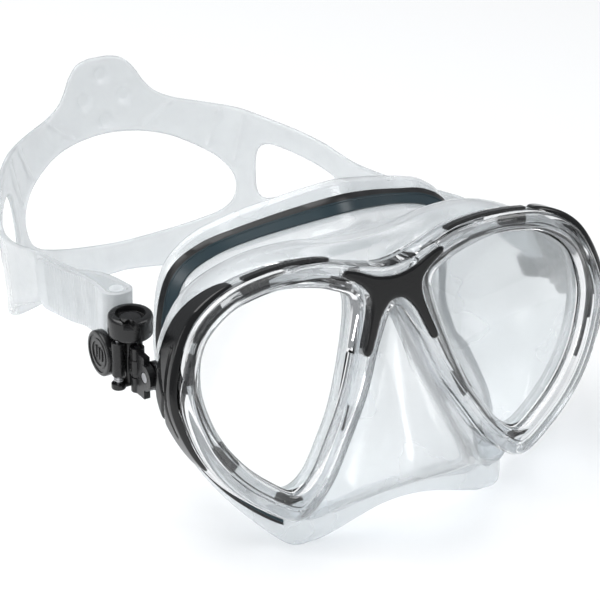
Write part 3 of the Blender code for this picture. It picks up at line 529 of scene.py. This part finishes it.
def build_skirt(per=8):
    """One closed skin: outer rows, seal edge, inner lip and rear rows, with two seats for the lenses."""
    seat, step, throat, wall, middle, root, rim = skirt_rings(per)
    body = smooth_path(np.array([throat, wall, middle, root]), 5)
    lip = smooth_path(np.array([root, (root + rim) / 2, rim]), 4)[1:]
    outer = np.concatenate([[seat, step], body, lip])
    normal = ring_normals(outer)
    corner = 1 + len(body)
    inner = outer - normal * SKIRT_WALL
    lip_rows = range(corner + 1, len(outer))
    for k in lip_rows:
        share = (k - corner) / (len(outer) - 1 - corner)
        inner[k] = outer[k] - normal[k] * SKIRT_WALL * (1 - 0.45 * share)
    back = FRAME_REAR + GAP + SKIRT_WALL
    edge = smooth_loop(mirrored(FRAME_OUTLINE), per)
    inset = smooth_loop(mirrored_values(SEAT_INSET)[:, None], per)[:, 0]
    seat_inner = in_plane(offset_loop(edge, -inset - SKIRT_WALL), back)
    reach = smooth_loop(mirrored_values(INNER_LIP)[:, None], per)
    fold = inner[corner]
    heading = unit(-fold * (1, 0, 1) + np.array([0, 0, -2.0]))
    tip = fold + heading * reach + np.array([0, 2.5, 0])
    shell = Shell()
    front_rows = [shell.ring(r) for r in outer]
    edge_row = shell.ring((outer[-1] + inner[-1]) / 2 + unit(outer[-1] - outer[-2]) * 0.5)
    back_rows = [shell.ring(inner[k]) for k in reversed(lip_rows)]
    lip_back = [shell.ring(tip * t + (fold + (0, 1.2, 0)) * (1 - t) + (0, 0.7, 0)) for t in (0.4, 0.75, 1)]
    lip_front = [shell.ring(tip * t + fold * (1 - t) - (0, 0.6, 0)) for t in (1, 0.7)]
    inner_rows = [shell.ring(inner[k]) for k in range(corner - 1, 1, -1)]
    first = shell.ring(seat_inner)
    shell.skin(front_rows + [edge_row] + back_rows + lip_back + lip_front + inner_rows + [first])
    fronts = []
    backs = []
    for side in (-1, 1):
        steps = ((POCKET - GAP, FRAME_REAR + GAP), (POCKET - GAP, WEB_FRONT), (0.4, WEB_FRONT),
                 (0, WEB_FRONT + 0.4), (0, back - 0.4), (0.4, back))
        rings = [shell.ring(in_plane(glass_loop(side, d), y)) for d, y in steps]
        shell.skin(rings)
        fronts.append(rings[0])
        backs.append(rings[-1])
    shell.fill(front_rows[0], *fronts)
    shell.fill(first, *backs)
    return show(shell.mesh("skirt_moulding"), "skirt_moulding", "mask", [SILICONE],
                ["skirt"], smooth=60)


def band_rows(groove, rim):
    """Unit direction across the flange, and the band's near and far edges along it in mm."""
    count = len(groove)
    station = np.arange(count) * (STATIONS / count)
    station = np.minimum(station, STATIONS - station)
    start, loss, shift = BAND_NARROW
    narrowed = np.clip((station - start) / (BAND_END - start), 0, 1)
    flange = np.linalg.norm(rim - groove, axis=1)
    middle = flange * (BAND_CENTRE - shift * narrowed)
    half = (BAND_STRIP - loss * narrowed) / 2
    return unit(rim - groove), (middle - half)[:, None], (middle + half)[:, None]


def build_band(per=8):
    """Creased stiffening band on the seal's flange, all one dark teal: teal inside the crease, and outside
    it a near-black copy of the teal that is painted shade.
    """
    _, _, _, _, _, groove, rim = skirt_rings(per)
    across, near, far = band_rows(groove, rim)
    around = np.roll(groove, -1, axis=0) - np.roll(groove, 1, axis=0)
    away = unit(np.cross(around, across))
    top = BAND_CLEAR + BAND_THICK
    profile = [(0, BAND_CLEAR), (BAND_SPLIT, BAND_CLEAR + BAND_CREASE), (1, BAND_CLEAR), (1, top - 0.3),
               (0.95, top), (BAND_SPLIT + 0.07, top + BAND_CREASE - 0.25),
               (BAND_SPLIT + 0.03, top + BAND_CREASE), (BAND_SPLIT - 0.03, top + BAND_CREASE),
               (BAND_SPLIT - 0.07, top + BAND_CREASE - 0.25), (0.05, top), (0, top - 0.3)]
    last = int(BAND_END * len(groove) / STATIONS)
    shell = Shell()
    rings = [shell.ring([groove[k] + across[k] * (near[k] + (far[k] - near[k]) * share) + away[k] * depth
                         for share, depth in profile]) for k in range(-last, last + 1)]
    # Faces 1 to 5, the half outside the crease, take the near-black copy, which is painted shade.
    shell.skin(rings, second=range(1, 6))
    shell.fill(rings[0])
    shell.fill(rings[-1])
    return show(shell.mesh("stiffening_band"), "stiffening_band", "mask",
                [BAND_INNER, BAND_PAINTED_SHADE], ["skirt_band"], smooth=40)


# ---------------------------------------------------------------- side lugs and buckles

def groove_depth(y, z):
    """Depth of the lug's slanting grooves at a point of its outer face."""
    depth = 0.0
    for (ya, za), (yb, zb) in LUG_GROOVES:
        length = (yb - ya) ** 2 + (zb - za) ** 2
        t = min(max(((y - ya) * (yb - ya) + (z - za) * (zb - za)) / length, 0.0), 1.0)
        away = math.hypot(y - ya - t * (yb - ya), z - za - t * (zb - za))
        depth = max(depth, float(np.interp(away, (0.3, 0.75), (0.6, 0.0))))
    return depth


def build_lug(side, word, per=30):
    """Horn-shaped lug with a crowned outer face, rounded edges and three grooves."""
    edge = smooth_loop(mirrored(FRAME_OUTLINE), per)
    first = int(LUG_START * per)
    last = int(LUG_END * per)
    lowest = offset_loop(edge, GAP)
    highest = offset_loop(edge, GAP + 1.0)
    shell = Shell()
    sections = []
    for k in range(first, last + 1):
        share = (k - first) / (last - first)
        body = max(math.sin(math.pi * share), 0.0) ** 0.6
        thick = 0.7 + (LUG_THICK - 0.7) * body
        rear = 1.5 + (LUG_REAR - 1.5) * body
        front = LUG_FRONT + 0.6 * (1 - body)
        base = lowest[k] * (side, 1)
        out = (highest[k] - lowest[k]) * (side, 1)
        section = [(base[0], front, base[1])]
        for t in np.linspace(0, 1, LUG_COLUMNS):
            y = front + (rear - front) * t
            edge_fall = min(t, 1 - t) * (rear - front)
            height = thick * (1 - 0.75 * (1 - min(edge_fall / 1.1, 1.0)) ** 2)
            height -= groove_depth(y, base[1]) * body
            section.append((base[0] + out[0] * height, y, base[1] + out[1] * height))
        section.append((base[0], rear, base[1]))
        sections.append(section)
    shell.loft(sections)
    ear = disc(side, (SWING_Y, SWING_Z), [(EAR_RADIUS, EAR_U[0]), (EAR_RADIUS, EAR_U[1])])
    steps = [(ear, 'UNION'),
             (block(side, (EAR_U[0] + 0.05, EAR_U[1] + 0.45), (FRAME_REAR + GAP + 0.1, SWING_Y - 1),
                    (SWING_Z - 4.4, SWING_Z + 4.4), 0.3), 'UNION'),
             (block(side, (EAR_U[0] + 0.1, 83.2), (FRAME_REAR + GAP + 0.2, LUG_REAR - 0.3),
                    (SWING_Z - 5.5, SWING_Z + 4.4), 0.3), 'UNION'),
             (block(side, (EAR_U[1] + 0.05, 90), (LUG_REAR + 0.01, 30), (SWING_Z - 12, SWING_Z + 12), 0.1),
              'DIFFERENCE'),
             (disc(side, (SWING_Y, SWING_Z), [(2.2, EAR_U[0] - 2), (2.2, EAR_U[1] + 4)], 32, 0.05),
              'DIFFERENCE')]
    mesh = carve(shell, "lug", steps)
    return show(mesh, f"{word}_lug", "mask", [BLACK_GLOSS], [f"{word}_side_lug"])


def buckle_matrix(side):
    return REST @ Matrix.Translation((0, SWING_Y * MM, SWING_Z * MM)) @ Matrix.Rotation(
        BUCKLE_PITCH[side], 4, 'X')


def build_buckle(side, word):
    """Buckle body: ring with a domed middle, block, roller foot, hinge barrel and button bearing."""
    u, v = YAW_UV
    clear = v + BARREL_RADIUS + GAP
    top = RING_W[1]
    ring = post(side, RING_UV, [(RING_RADIUS, RING_W[0]), (RING_RADIUS, top)], 64, 1.4)
    steps = [
        (block(side, (79.9, 85.9), (clear, 17.0), (-7.8, 10.4), 0.9), 'UNION'),
        (block(side, (79.4, 86.0), (clear + 0.1, 21.4), (-8.4, 2.4), 0.9), 'UNION'),
        (block(side, (79.6, 86.6), (14.4, 21.8), (-7.6, 7.4), 1.1), 'UNION'),
        (block(side, (77.8, 83.6), (19.0, 27.9), (-6.4, -2.4), 0.5), 'UNION'),
        (post(side, ROLLER_UV, [(4.4, -6.5), (4.4, -2.3)]), 'UNION'),
        (post(side, (u, v), [(BARREL_RADIUS, -3.0), (BARREL_RADIUS, 3.0)], 32, 0.3), 'UNION'),
        (block(side, (u - 2.0, u + 2.0), (v, clear + 1.2), (-2.9, 2.9), 0.3), 'UNION'),
        (post(side, LEVER_UV, [(2.4, -8.3), (2.4, -6.4)], 32, 0.3), 'UNION'),
        (block(side, (84.5, LEVER_UV[0]), (clear + 0.2, 13.7), (-8.2, -6.5), 0.3), 'UNION'),
        (post(side, (82.8, 17.2), [(2.6, -11.0), (3.5, -9.4), (3.5, -8.0)], 40, 0.7), 'UNION'),
        (post(side, RING_UV, [(5.0, top - 2.0), (5.0, top + 2)], 56, 0.1), 'DIFFERENCE'),
        (post(side, RING_UV, [(4.2, top - 3.0), (4.2, top - 1.6), (3.0, top - 0.9)], 48, 0.7), 'UNION'),
        (block(side, (84.4, 88.0), (6.6, 11.4), (top - 2.6, top + 1), 0.2), 'DIFFERENCE'),
        (block(side, (83.8, 89.0), (15.8, 20.0), (-0.6, 5.8), 0.5), 'DIFFERENCE'),
        (post(side, (u, v), [(HINGE_BORE, -12), (HINGE_BORE, 12)], 24, 0.05), 'DIFFERENCE'),
        (post(side, ROLLER_UV, [(AXLE_BORE, -8), (AXLE_BORE, 0)], 24, 0.05), 'DIFFERENCE'),
        (post(side, LEVER_UV, [(LEVER_BORE, -9), (LEVER_BORE, RING_W[0] + 1.6)], 24, 0.05), 'DIFFERENCE'),
    ]
    mesh = carve(ring, "buckle", steps)
    return show(mesh, f"{word}_buckle_shell", f"{word}_buckle", [BLACK],
                [f"{word}_buckle_body"], buckle_matrix(side))


def build_button(side, word):
    """Round release button with a plain ring and bar in low relief, on its lever."""
    u, v = LEVER_UV
    face = COIN_U[1]
    coin = disc(side, COIN_CENTRE, [(COIN_RADIUS, COIN_U[0]), (COIN_RADIUS, face)], 64, 0.7)
    centre_v, centre_w = COIN_CENTRE
    steps = [(disc(side, COIN_CENTRE, [(6.5, face - 0.35), (6.5, face + 1)], 64, 0.1), 'DIFFERENCE'),
             (disc(side, COIN_CENTRE, [(5.2, face - 1.0), (5.2, face - 0.1)], 64, 0.2), 'UNION'),
             (disc(side, COIN_CENTRE, [(4.3, face - 0.5), (4.3, face + 1)], 64, 0.1), 'DIFFERENCE')]
    for middle in (centre_v - 2.0, centre_v, centre_v + 2.0):
        bar = block(side, (face - 1.0, face - 0.15), (middle - 0.5, middle + 0.5),
                    (centre_w - 2.2, centre_w + 2.2), 0.2)
        steps.append((bar, 'UNION'))
    steps += [(post(side, (u, v), [(2.1, -3.6), (2.1, 8.5)], 32, 0.3), 'UNION'),
              (block(side, (u, u + 2.0), (v, 17.5), (-3.3, 5.8), 0.4), 'UNION'),
              (post(side, (u, v), [(LEVER_BORE, -6), (LEVER_BORE, 12)], 24, 0.05), 'DIFFERENCE')]
    mesh = carve(coin, "button", steps)
    return show(mesh, f"{word}_button_cap", f"{word}_button", [BLACK],
                [f"{word}_release_button"], buckle_matrix(side))


# ---------------------------------------------------------------- strap

def plan_curve():
    angle = np.linspace(0, math.pi / 2, 400)
    x = PLAN_HALF_WIDTH * np.sin(angle) ** (2 / PLAN_POWER)
    y = PLAN_SIDE_Y + (PLAN_REAR_Y - PLAN_SIDE_Y) * np.cos(angle) ** (2 / PLAN_POWER)
    distance = np.concatenate([[0], np.cumsum(np.hypot(np.diff(x), np.diff(y)))])
    full_x = np.concatenate([-x[:0:-1], x]) + PLAN_SHIFT
    full_y = np.concatenate([y[:0:-1], y])
    return np.concatenate([-distance[:0:-1], distance]), full_x, full_y


PLAN = plan_curve()


def on_strap(points, depth):
    """Places (distance, height) points on the strap, depth outward from its middle surface."""
    distance, x, y = PLAN
    s = points[:, 0]
    px = np.interp(s, distance, x)
    py = np.interp(s, distance, y)
    dx = np.interp(s + 1, distance, x) - np.interp(s - 1, distance, x)
    dy = np.interp(s + 1, distance, y) - np.interp(s - 1, distance, y)
    length = np.hypot(dx, dy)
    twist = 3.6 * np.clip((np.abs(s) - 95) / 45, 0, 1) * np.sign(s)
    z = points[:, 1] - STRAP_TILT * px - twist
    return np.column_stack([px - dy / length * depth, py + dx / length * depth, z])


def inside(points, loop):
    x, y = points[:, 0:1], points[:, 1:2]
    b = np.roll(loop, -1, axis=0)
    crosses = (loop[:, 1] > y) != (b[:, 1] > y)
    slope = np.where(b[:, 1] == loop[:, 1], 1e-9, b[:, 1] - loop[:, 1])
    cut = loop[:, 0] + (y - loop[:, 1]) / slope * (b[:, 0] - loop[:, 0])
    return np.count_nonzero(crosses & (x < cut), axis=1) % 2 == 1


def resample(loop, spacing):
    loop = np.vstack([loop, loop[:1]])
    run = np.concatenate([[0], np.cumsum(np.linalg.norm(np.diff(loop, axis=0), axis=1))])
    at = np.linspace(0, run[-1], max(12, int(run[-1] / spacing)), endpoint=False)
    return np.column_stack([np.interp(at, run, loop[:, k]) for k in range(loop.shape[1])])


def border_distance(points, loops):
    """Distance from each point to the nearest border line."""
    best = np.full(len(points), 1e9)
    for loop in loops:
        a = loop
        d = np.roll(loop, -1, axis=0) - loop
        for chunk in range(0, len(points), 2000):
            p = points[chunk:chunk + 2000, None]
            t = np.clip(np.sum((p - a) * d, axis=2) / np.sum(d * d, axis=1), 0, 1)
            gap = np.linalg.norm(p - (a + t[:, :, None] * d), axis=2).min(axis=1)
            best[chunk:chunk + 2000] = np.minimum(best[chunk:chunk + 2000], gap)
    return best


def segment_distance(points, a, b):
    a = np.array(a, float) + (STRAP_CENTRE, 0)
    b = np.array(b, float) + (STRAP_CENTRE, 0)
    t = np.clip((points - a) @ (b - a) / ((b - a) @ (b - a)), 0, 1)
    return np.linalg.norm(points - (a + t[:, None] * (b - a)), axis=1)


def bar_outline(a, b, reach):
    """Narrow rectangle round the line from a to b, in the strap's flat pattern."""
    a = np.array(a, float) + (STRAP_CENTRE, 0)
    b = np.array(b, float) + (STRAP_CENTRE, 0)
    along = (b - a) / np.linalg.norm(b - a) * reach
    across = np.array([-along[1], along[0]])
    return np.array([a - along + across, b + along + across, b + along - across, a - along - across])


def build_strap(spacing=2.0):
    """Rear of the strap, meshed flat with beaded edges, dimples and ridges, then bent round its plan."""
    half = np.vstack([smooth_path(STRAP_TOP, 8), smooth_path(STRAP_BOTTOM, 8)])
    outline = np.vstack([half, (half * (-1, 1))[-2:0:-1]])
    rear = smooth_loop(mirrored(REAR_WINDOW), 8)
    window = smooth_loop(SIDE_WINDOW, 8)
    borders = [resample(loop, spacing) + (STRAP_CENTRE, 0)
               for loop in (outline, rear, window, (window * (-1, 1))[::-1])]
    loops = list(borders)
    for number, loop in enumerate(borders):
        for inset in EDGE_ROWS:
            one = offset_loop(loop, inset)
            other = offset_loop(loop, -inset)
            grows = inside(other, loop).mean() > 0.5
            loops.append(one if grows == (number > 0) else other)
    for s, z in DIMPLES:
        for radius in (3.4, 2.7, 1.6):
            loops.append(np.array(circle((s + STRAP_CENTRE, z), radius, 24)))
    for a, b in RIDGES:
        for reach in RIDGE_ROWS:
            loops.append(resample(bar_outline(a, b, reach), spacing))
    points = []
    edges = []
    for loop in loops:
        start = len(points)
        points += [tuple(p) for p in loop]
        edges += [(start + k, start + (k + 1) % len(loop)) for k in range(len(loop))]
    grid = np.array([(s, z) for s in np.arange(-STRAP_CUT + 3, STRAP_CUT, spacing * 1.3)
                     for z in np.arange(-17, 74, spacing * 1.3)])
    grid = grid[inside(grid, borders[0])]
    for hole in borders[1:]:
        grid = grid[~inside(grid, hole)]
    grid = grid[border_distance(grid, borders) > 3.2]
    for s, z in DIMPLES:
        grid = grid[np.hypot(grid[:, 0] - s - STRAP_CENTRE, grid[:, 1] - z) > 4.2]
    for a, b in RIDGES:
        grid = grid[segment_distance(grid, a, b) > 1.6]
    points += [tuple(p) for p in grid]
    verts, _, faces, _, _, _ = delaunay_2d_cdt([Vector(p) for p in points], edges, [], 0, 1e-4)
    flat = np.array([tuple(v) for v in verts])
    middles = np.array([flat[list(f)].mean(axis=0) for f in faces])
    keep = inside(middles, borders[0])
    for hole in borders[1:]:
        keep &= ~inside(middles, hole)
    gap = border_distance(flat, borders)
    half_thick = STRAP_THICK / 2 * np.interp(gap, [0, 0.45, 1.1, 2.4, 3.0], [0.3, 0.85, 1.0, 1.0, 0.62])
    for a, b in RIDGES:
        half_thick += np.interp(segment_distance(flat, a, b), RIDGE_ROWS, (RIDGE_HEIGHT, 0.0))
    inner_depth = half_thick.copy()
    for s, z in DIMPLES:
        away = np.hypot(flat[:, 0] - s - STRAP_CENTRE, flat[:, 1] - z)
        inner_depth -= np.interp(away, [1.6, 2.7, 3.4], [0.95, 0.7, 0.0])
    shell = Shell()
    front = shell.ring(on_strap(flat, half_thick))
    back = shell.ring(on_strap(flat, -inner_depth))
    used = {}
    for face in np.array(faces, dtype=object)[keep]:
        face = list(face)
        shell.bm.faces.new([front[i] for i in face])
        shell.bm.faces.new([back[i] for i in reversed(face)])
        for a, b in zip(face, face[1:] + face[:1]):
            used.setdefault(frozenset((a, b)), []).append((a, b))
    for uses in used.values():
        if len(uses) == 1:
            a, b = uses[0]
            shell.bm.faces.new((front[b], front[a], back[a], back[b]))
    loose = [v for v in shell.bm.verts if not v.link_faces]
    bmesh.ops.delete(shell.bm, geom=loose, context='VERTS')
    return show(shell.mesh("strap_band"), "strap_band", "strap", [STRAP_SILICONE],
                ["strap_back"], smooth=50)


def buckle_point(side, u, v, w):
    pitch = BUCKLE_PITCH[side]
    y = SWING_Y + v * math.cos(pitch) - w * math.sin(pitch)
    z = SWING_Z + v * math.sin(pitch) + w * math.cos(pitch)
    return np.array([side * u, y, z])


def build_strap_end(side, word):
    """Strap end that wraps the roller and folds back outside itself, with grip ribs across it."""
    cut = side * (STRAP_CUT + 0.6)
    middle_height = (STRAP_TOP[-1][1] + STRAP_BOTTOM[0][1]) / 2
    start = on_strap(np.array([[cut + STRAP_CENTRE, middle_height]]), 0)[0]
    middle = buckle_point(side, *ROLLER_UV, BAND_MID_W)
    wrap = ROLLER_RADIUS + GAP + STRAP_THICK / 2
    bx, by = abs(middle[0]), middle[1]
    sx = abs(start[0])
    inner = [(sx, start[1]), (sx + 0.2, 80), (sx + 0.1, 66), (bx - wrap + 1.6, 53)]
    arc = [(bx - wrap * math.cos(a), by - wrap * math.sin(a)) for a in np.linspace(0, math.pi, 17)]
    apart = STRAP_THICK + GAP + 0.15
    outer = [(bx + wrap - 1.4, 53), (sx + 0.2 + apart, 66), (sx + 0.2 + apart, 80),
             (sx + apart, TAIL_END_Y)]
    line = np.vstack([smooth_path(inner, 6), arc, smooth_path(outer, 6)])
    run = np.concatenate([[0], np.cumsum(np.linalg.norm(np.diff(line, axis=0), axis=1))])
    at = np.arange(0, run[-1], 0.55)
    line = np.column_stack([np.interp(at, run, line[:, k]) for k in (0, 1)])
    line[:, 0] *= side
    step = unit(np.gradient(line, axis=0))
    normal = np.column_stack([-step[:, 1], step[:, 0]])
    pitch = BUCKLE_PITCH[side]
    tail_from = run[len(smooth_path(inner, 6)) + 16] + 4
    shell = Shell()
    sections = []
    for k, ((px, py), (nx, ny)) in enumerate(zip(line, normal)):
        share = np.clip((TWIST_START_Y - py) / (TWIST_START_Y - by - 2), 0, 1)
        share = share * share * (3 - 2 * share)
        lift = start[2] * (1 - share) + (middle[2] + (py - by) * math.sin(pitch) * 0.6) * share
        lean = -math.tan(pitch) * share
        half = BAND_WIDTH / 2
        left = at[-1] - at[k]
        if left < TAIL_ROUND:
            cosine = 1 - left / TAIL_ROUND
            half -= TAIL_ROUND * (1 - math.sqrt(max(1 - cosine ** 2, 0))) * 0.9
        ribbed = at[k] > tail_from and left > 6 and at[k] % RIB_PITCH < RIB_PITCH / 2
        rib = -RIB_DEPTH if ribbed else 0.0
        rows = []
        faces = ((-half, -0.4, 0), (-half + 0.5, -1, 0), (half - 0.5, -1, 0), (half, -0.4, 0),
                 (half, 0.4, 0), (half - 0.5, 1, 0), (half - 1.6, 1, rib), (-half + 1.6, 1, rib),
                 (-half + 0.5, 1, 0), (-half, 0.4, 0))
        for w, d, dip in faces:
            deep = d * STRAP_THICK / 2 + dip
            rows.append((px + nx * deep, py + ny * deep + w * lean, lift + w))
        sections.append(rows)
    shell.loft(sections)
    obj = show(shell.mesh("strap_tail"), f"{word}_strap_tail", None, [STRAP_SILICONE],
               [f"{word}_strap_end"], smooth=50)
    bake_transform(obj)
    return obj


# ---------------------------------------------------------------- carried-over solids

def dress_solids():
    for name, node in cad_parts.items():
        if name.endswith(("_pin", "_spring")):
            mat = STEEL
        elif name.endswith(("_roller", "_axle")):
            mat = MILKY_CLEAR
        elif name.endswith(("_swivel", "_trim")) or "_clip_" in name:
            mat = BLACK
        else:
            continue
        node.data.materials.clear()
        node.data.materials.append(mat)


# ---------------------------------------------------------------- studio

# Place and side in metres, power in watts: overhead key, fill from the right, rim from the left
SOFTBOXES = (((-0.5, 0.3, 1.3), 1.2, 16.5), ((0.9, -0.7, 1.1), 0.8, 7.6), ((-1.1, -0.6, 0.7), 0.5, 4.4))
CAMERA_TURN = (30.7, 28.17, 0.9)   # azimuth, elevation and roll in degrees
CAMERA_TARGET = (-0.0125, -0.0517, 0.0641)
CAMERA_DISTANCE = 0.95


def build_studio():
    mesh = bpy.data.meshes.new("studio_floor")
    bm = bmesh.new()
    bmesh.ops.create_grid(bm, x_segments=8, y_segments=8, size=4.0)
    bm.to_mesh(mesh)
    bm.free()
    floor = bpy.data.objects.new("studio_floor", mesh)
    bpy.context.collection.objects.link(floor)
    mat, _, bsdf = new_material("floor_white")
    bsdf.inputs["Base Color"].default_value = (0.9, 0.9, 0.9, 1)
    bsdf.inputs["Roughness"].default_value = 0.8
    mesh.materials.append(mat)
    world = bpy.data.worlds.new("studio")
    world.use_nodes = True
    sky = world.node_tree.nodes["Background"]
    sky.inputs["Color"].default_value = (0.5, 0.52, 0.54, 1)
    sky.inputs["Strength"].default_value = 0.63
    bpy.context.scene.world = world
    for place, size, power in SOFTBOXES:
        softbox(place, size, power)
    bpy.context.scene.view_settings.view_transform = 'Standard'


def softbox(place, size, power):
    data = bpy.data.lights.new("softbox", 'AREA')
    data.shape = 'SQUARE'
    data.size = size
    data.energy = power
    lamp = bpy.data.objects.new("softbox", data)
    lamp.location = place
    aim = Vector((0, 0, 0.04)) - Vector(place)
    lamp.rotation_euler = aim.to_track_quat('-Z', 'Y').to_euler()
    bpy.context.collection.objects.link(lamp)


def build_camera():
    azimuth, elevation, roll = (math.radians(a) for a in CAMERA_TURN)
    forward = Vector((math.sin(azimuth) * math.cos(elevation), math.cos(azimuth) * math.cos(elevation),
                      -math.sin(elevation)))
    data = bpy.data.cameras.new("camera")
    data.lens = 168.0
    data.sensor_width = 36.0
    camera = bpy.data.objects.new("camera", data)
    camera.location = Vector(CAMERA_TARGET) - forward * CAMERA_DISTANCE
    turn = forward.to_track_quat('-Z', 'Y').to_matrix().to_4x4()
    camera.rotation_euler = (turn @ Matrix.Rotation(roll, 4, 'Z')).to_euler()
    bpy.context.collection.objects.link(camera)
    bpy.context.scene.camera = camera


build_camera()
build_studio()
build_frame()
build_bridge()
build_skirt()
build_band()
build_strap()
for side, word in SIDES:
    build_lens(side, word)
    build_lug(side, word)
    build_buckle(side, word)
    build_button(side, word)
    build_strap_end(side, word)
dress_solids()
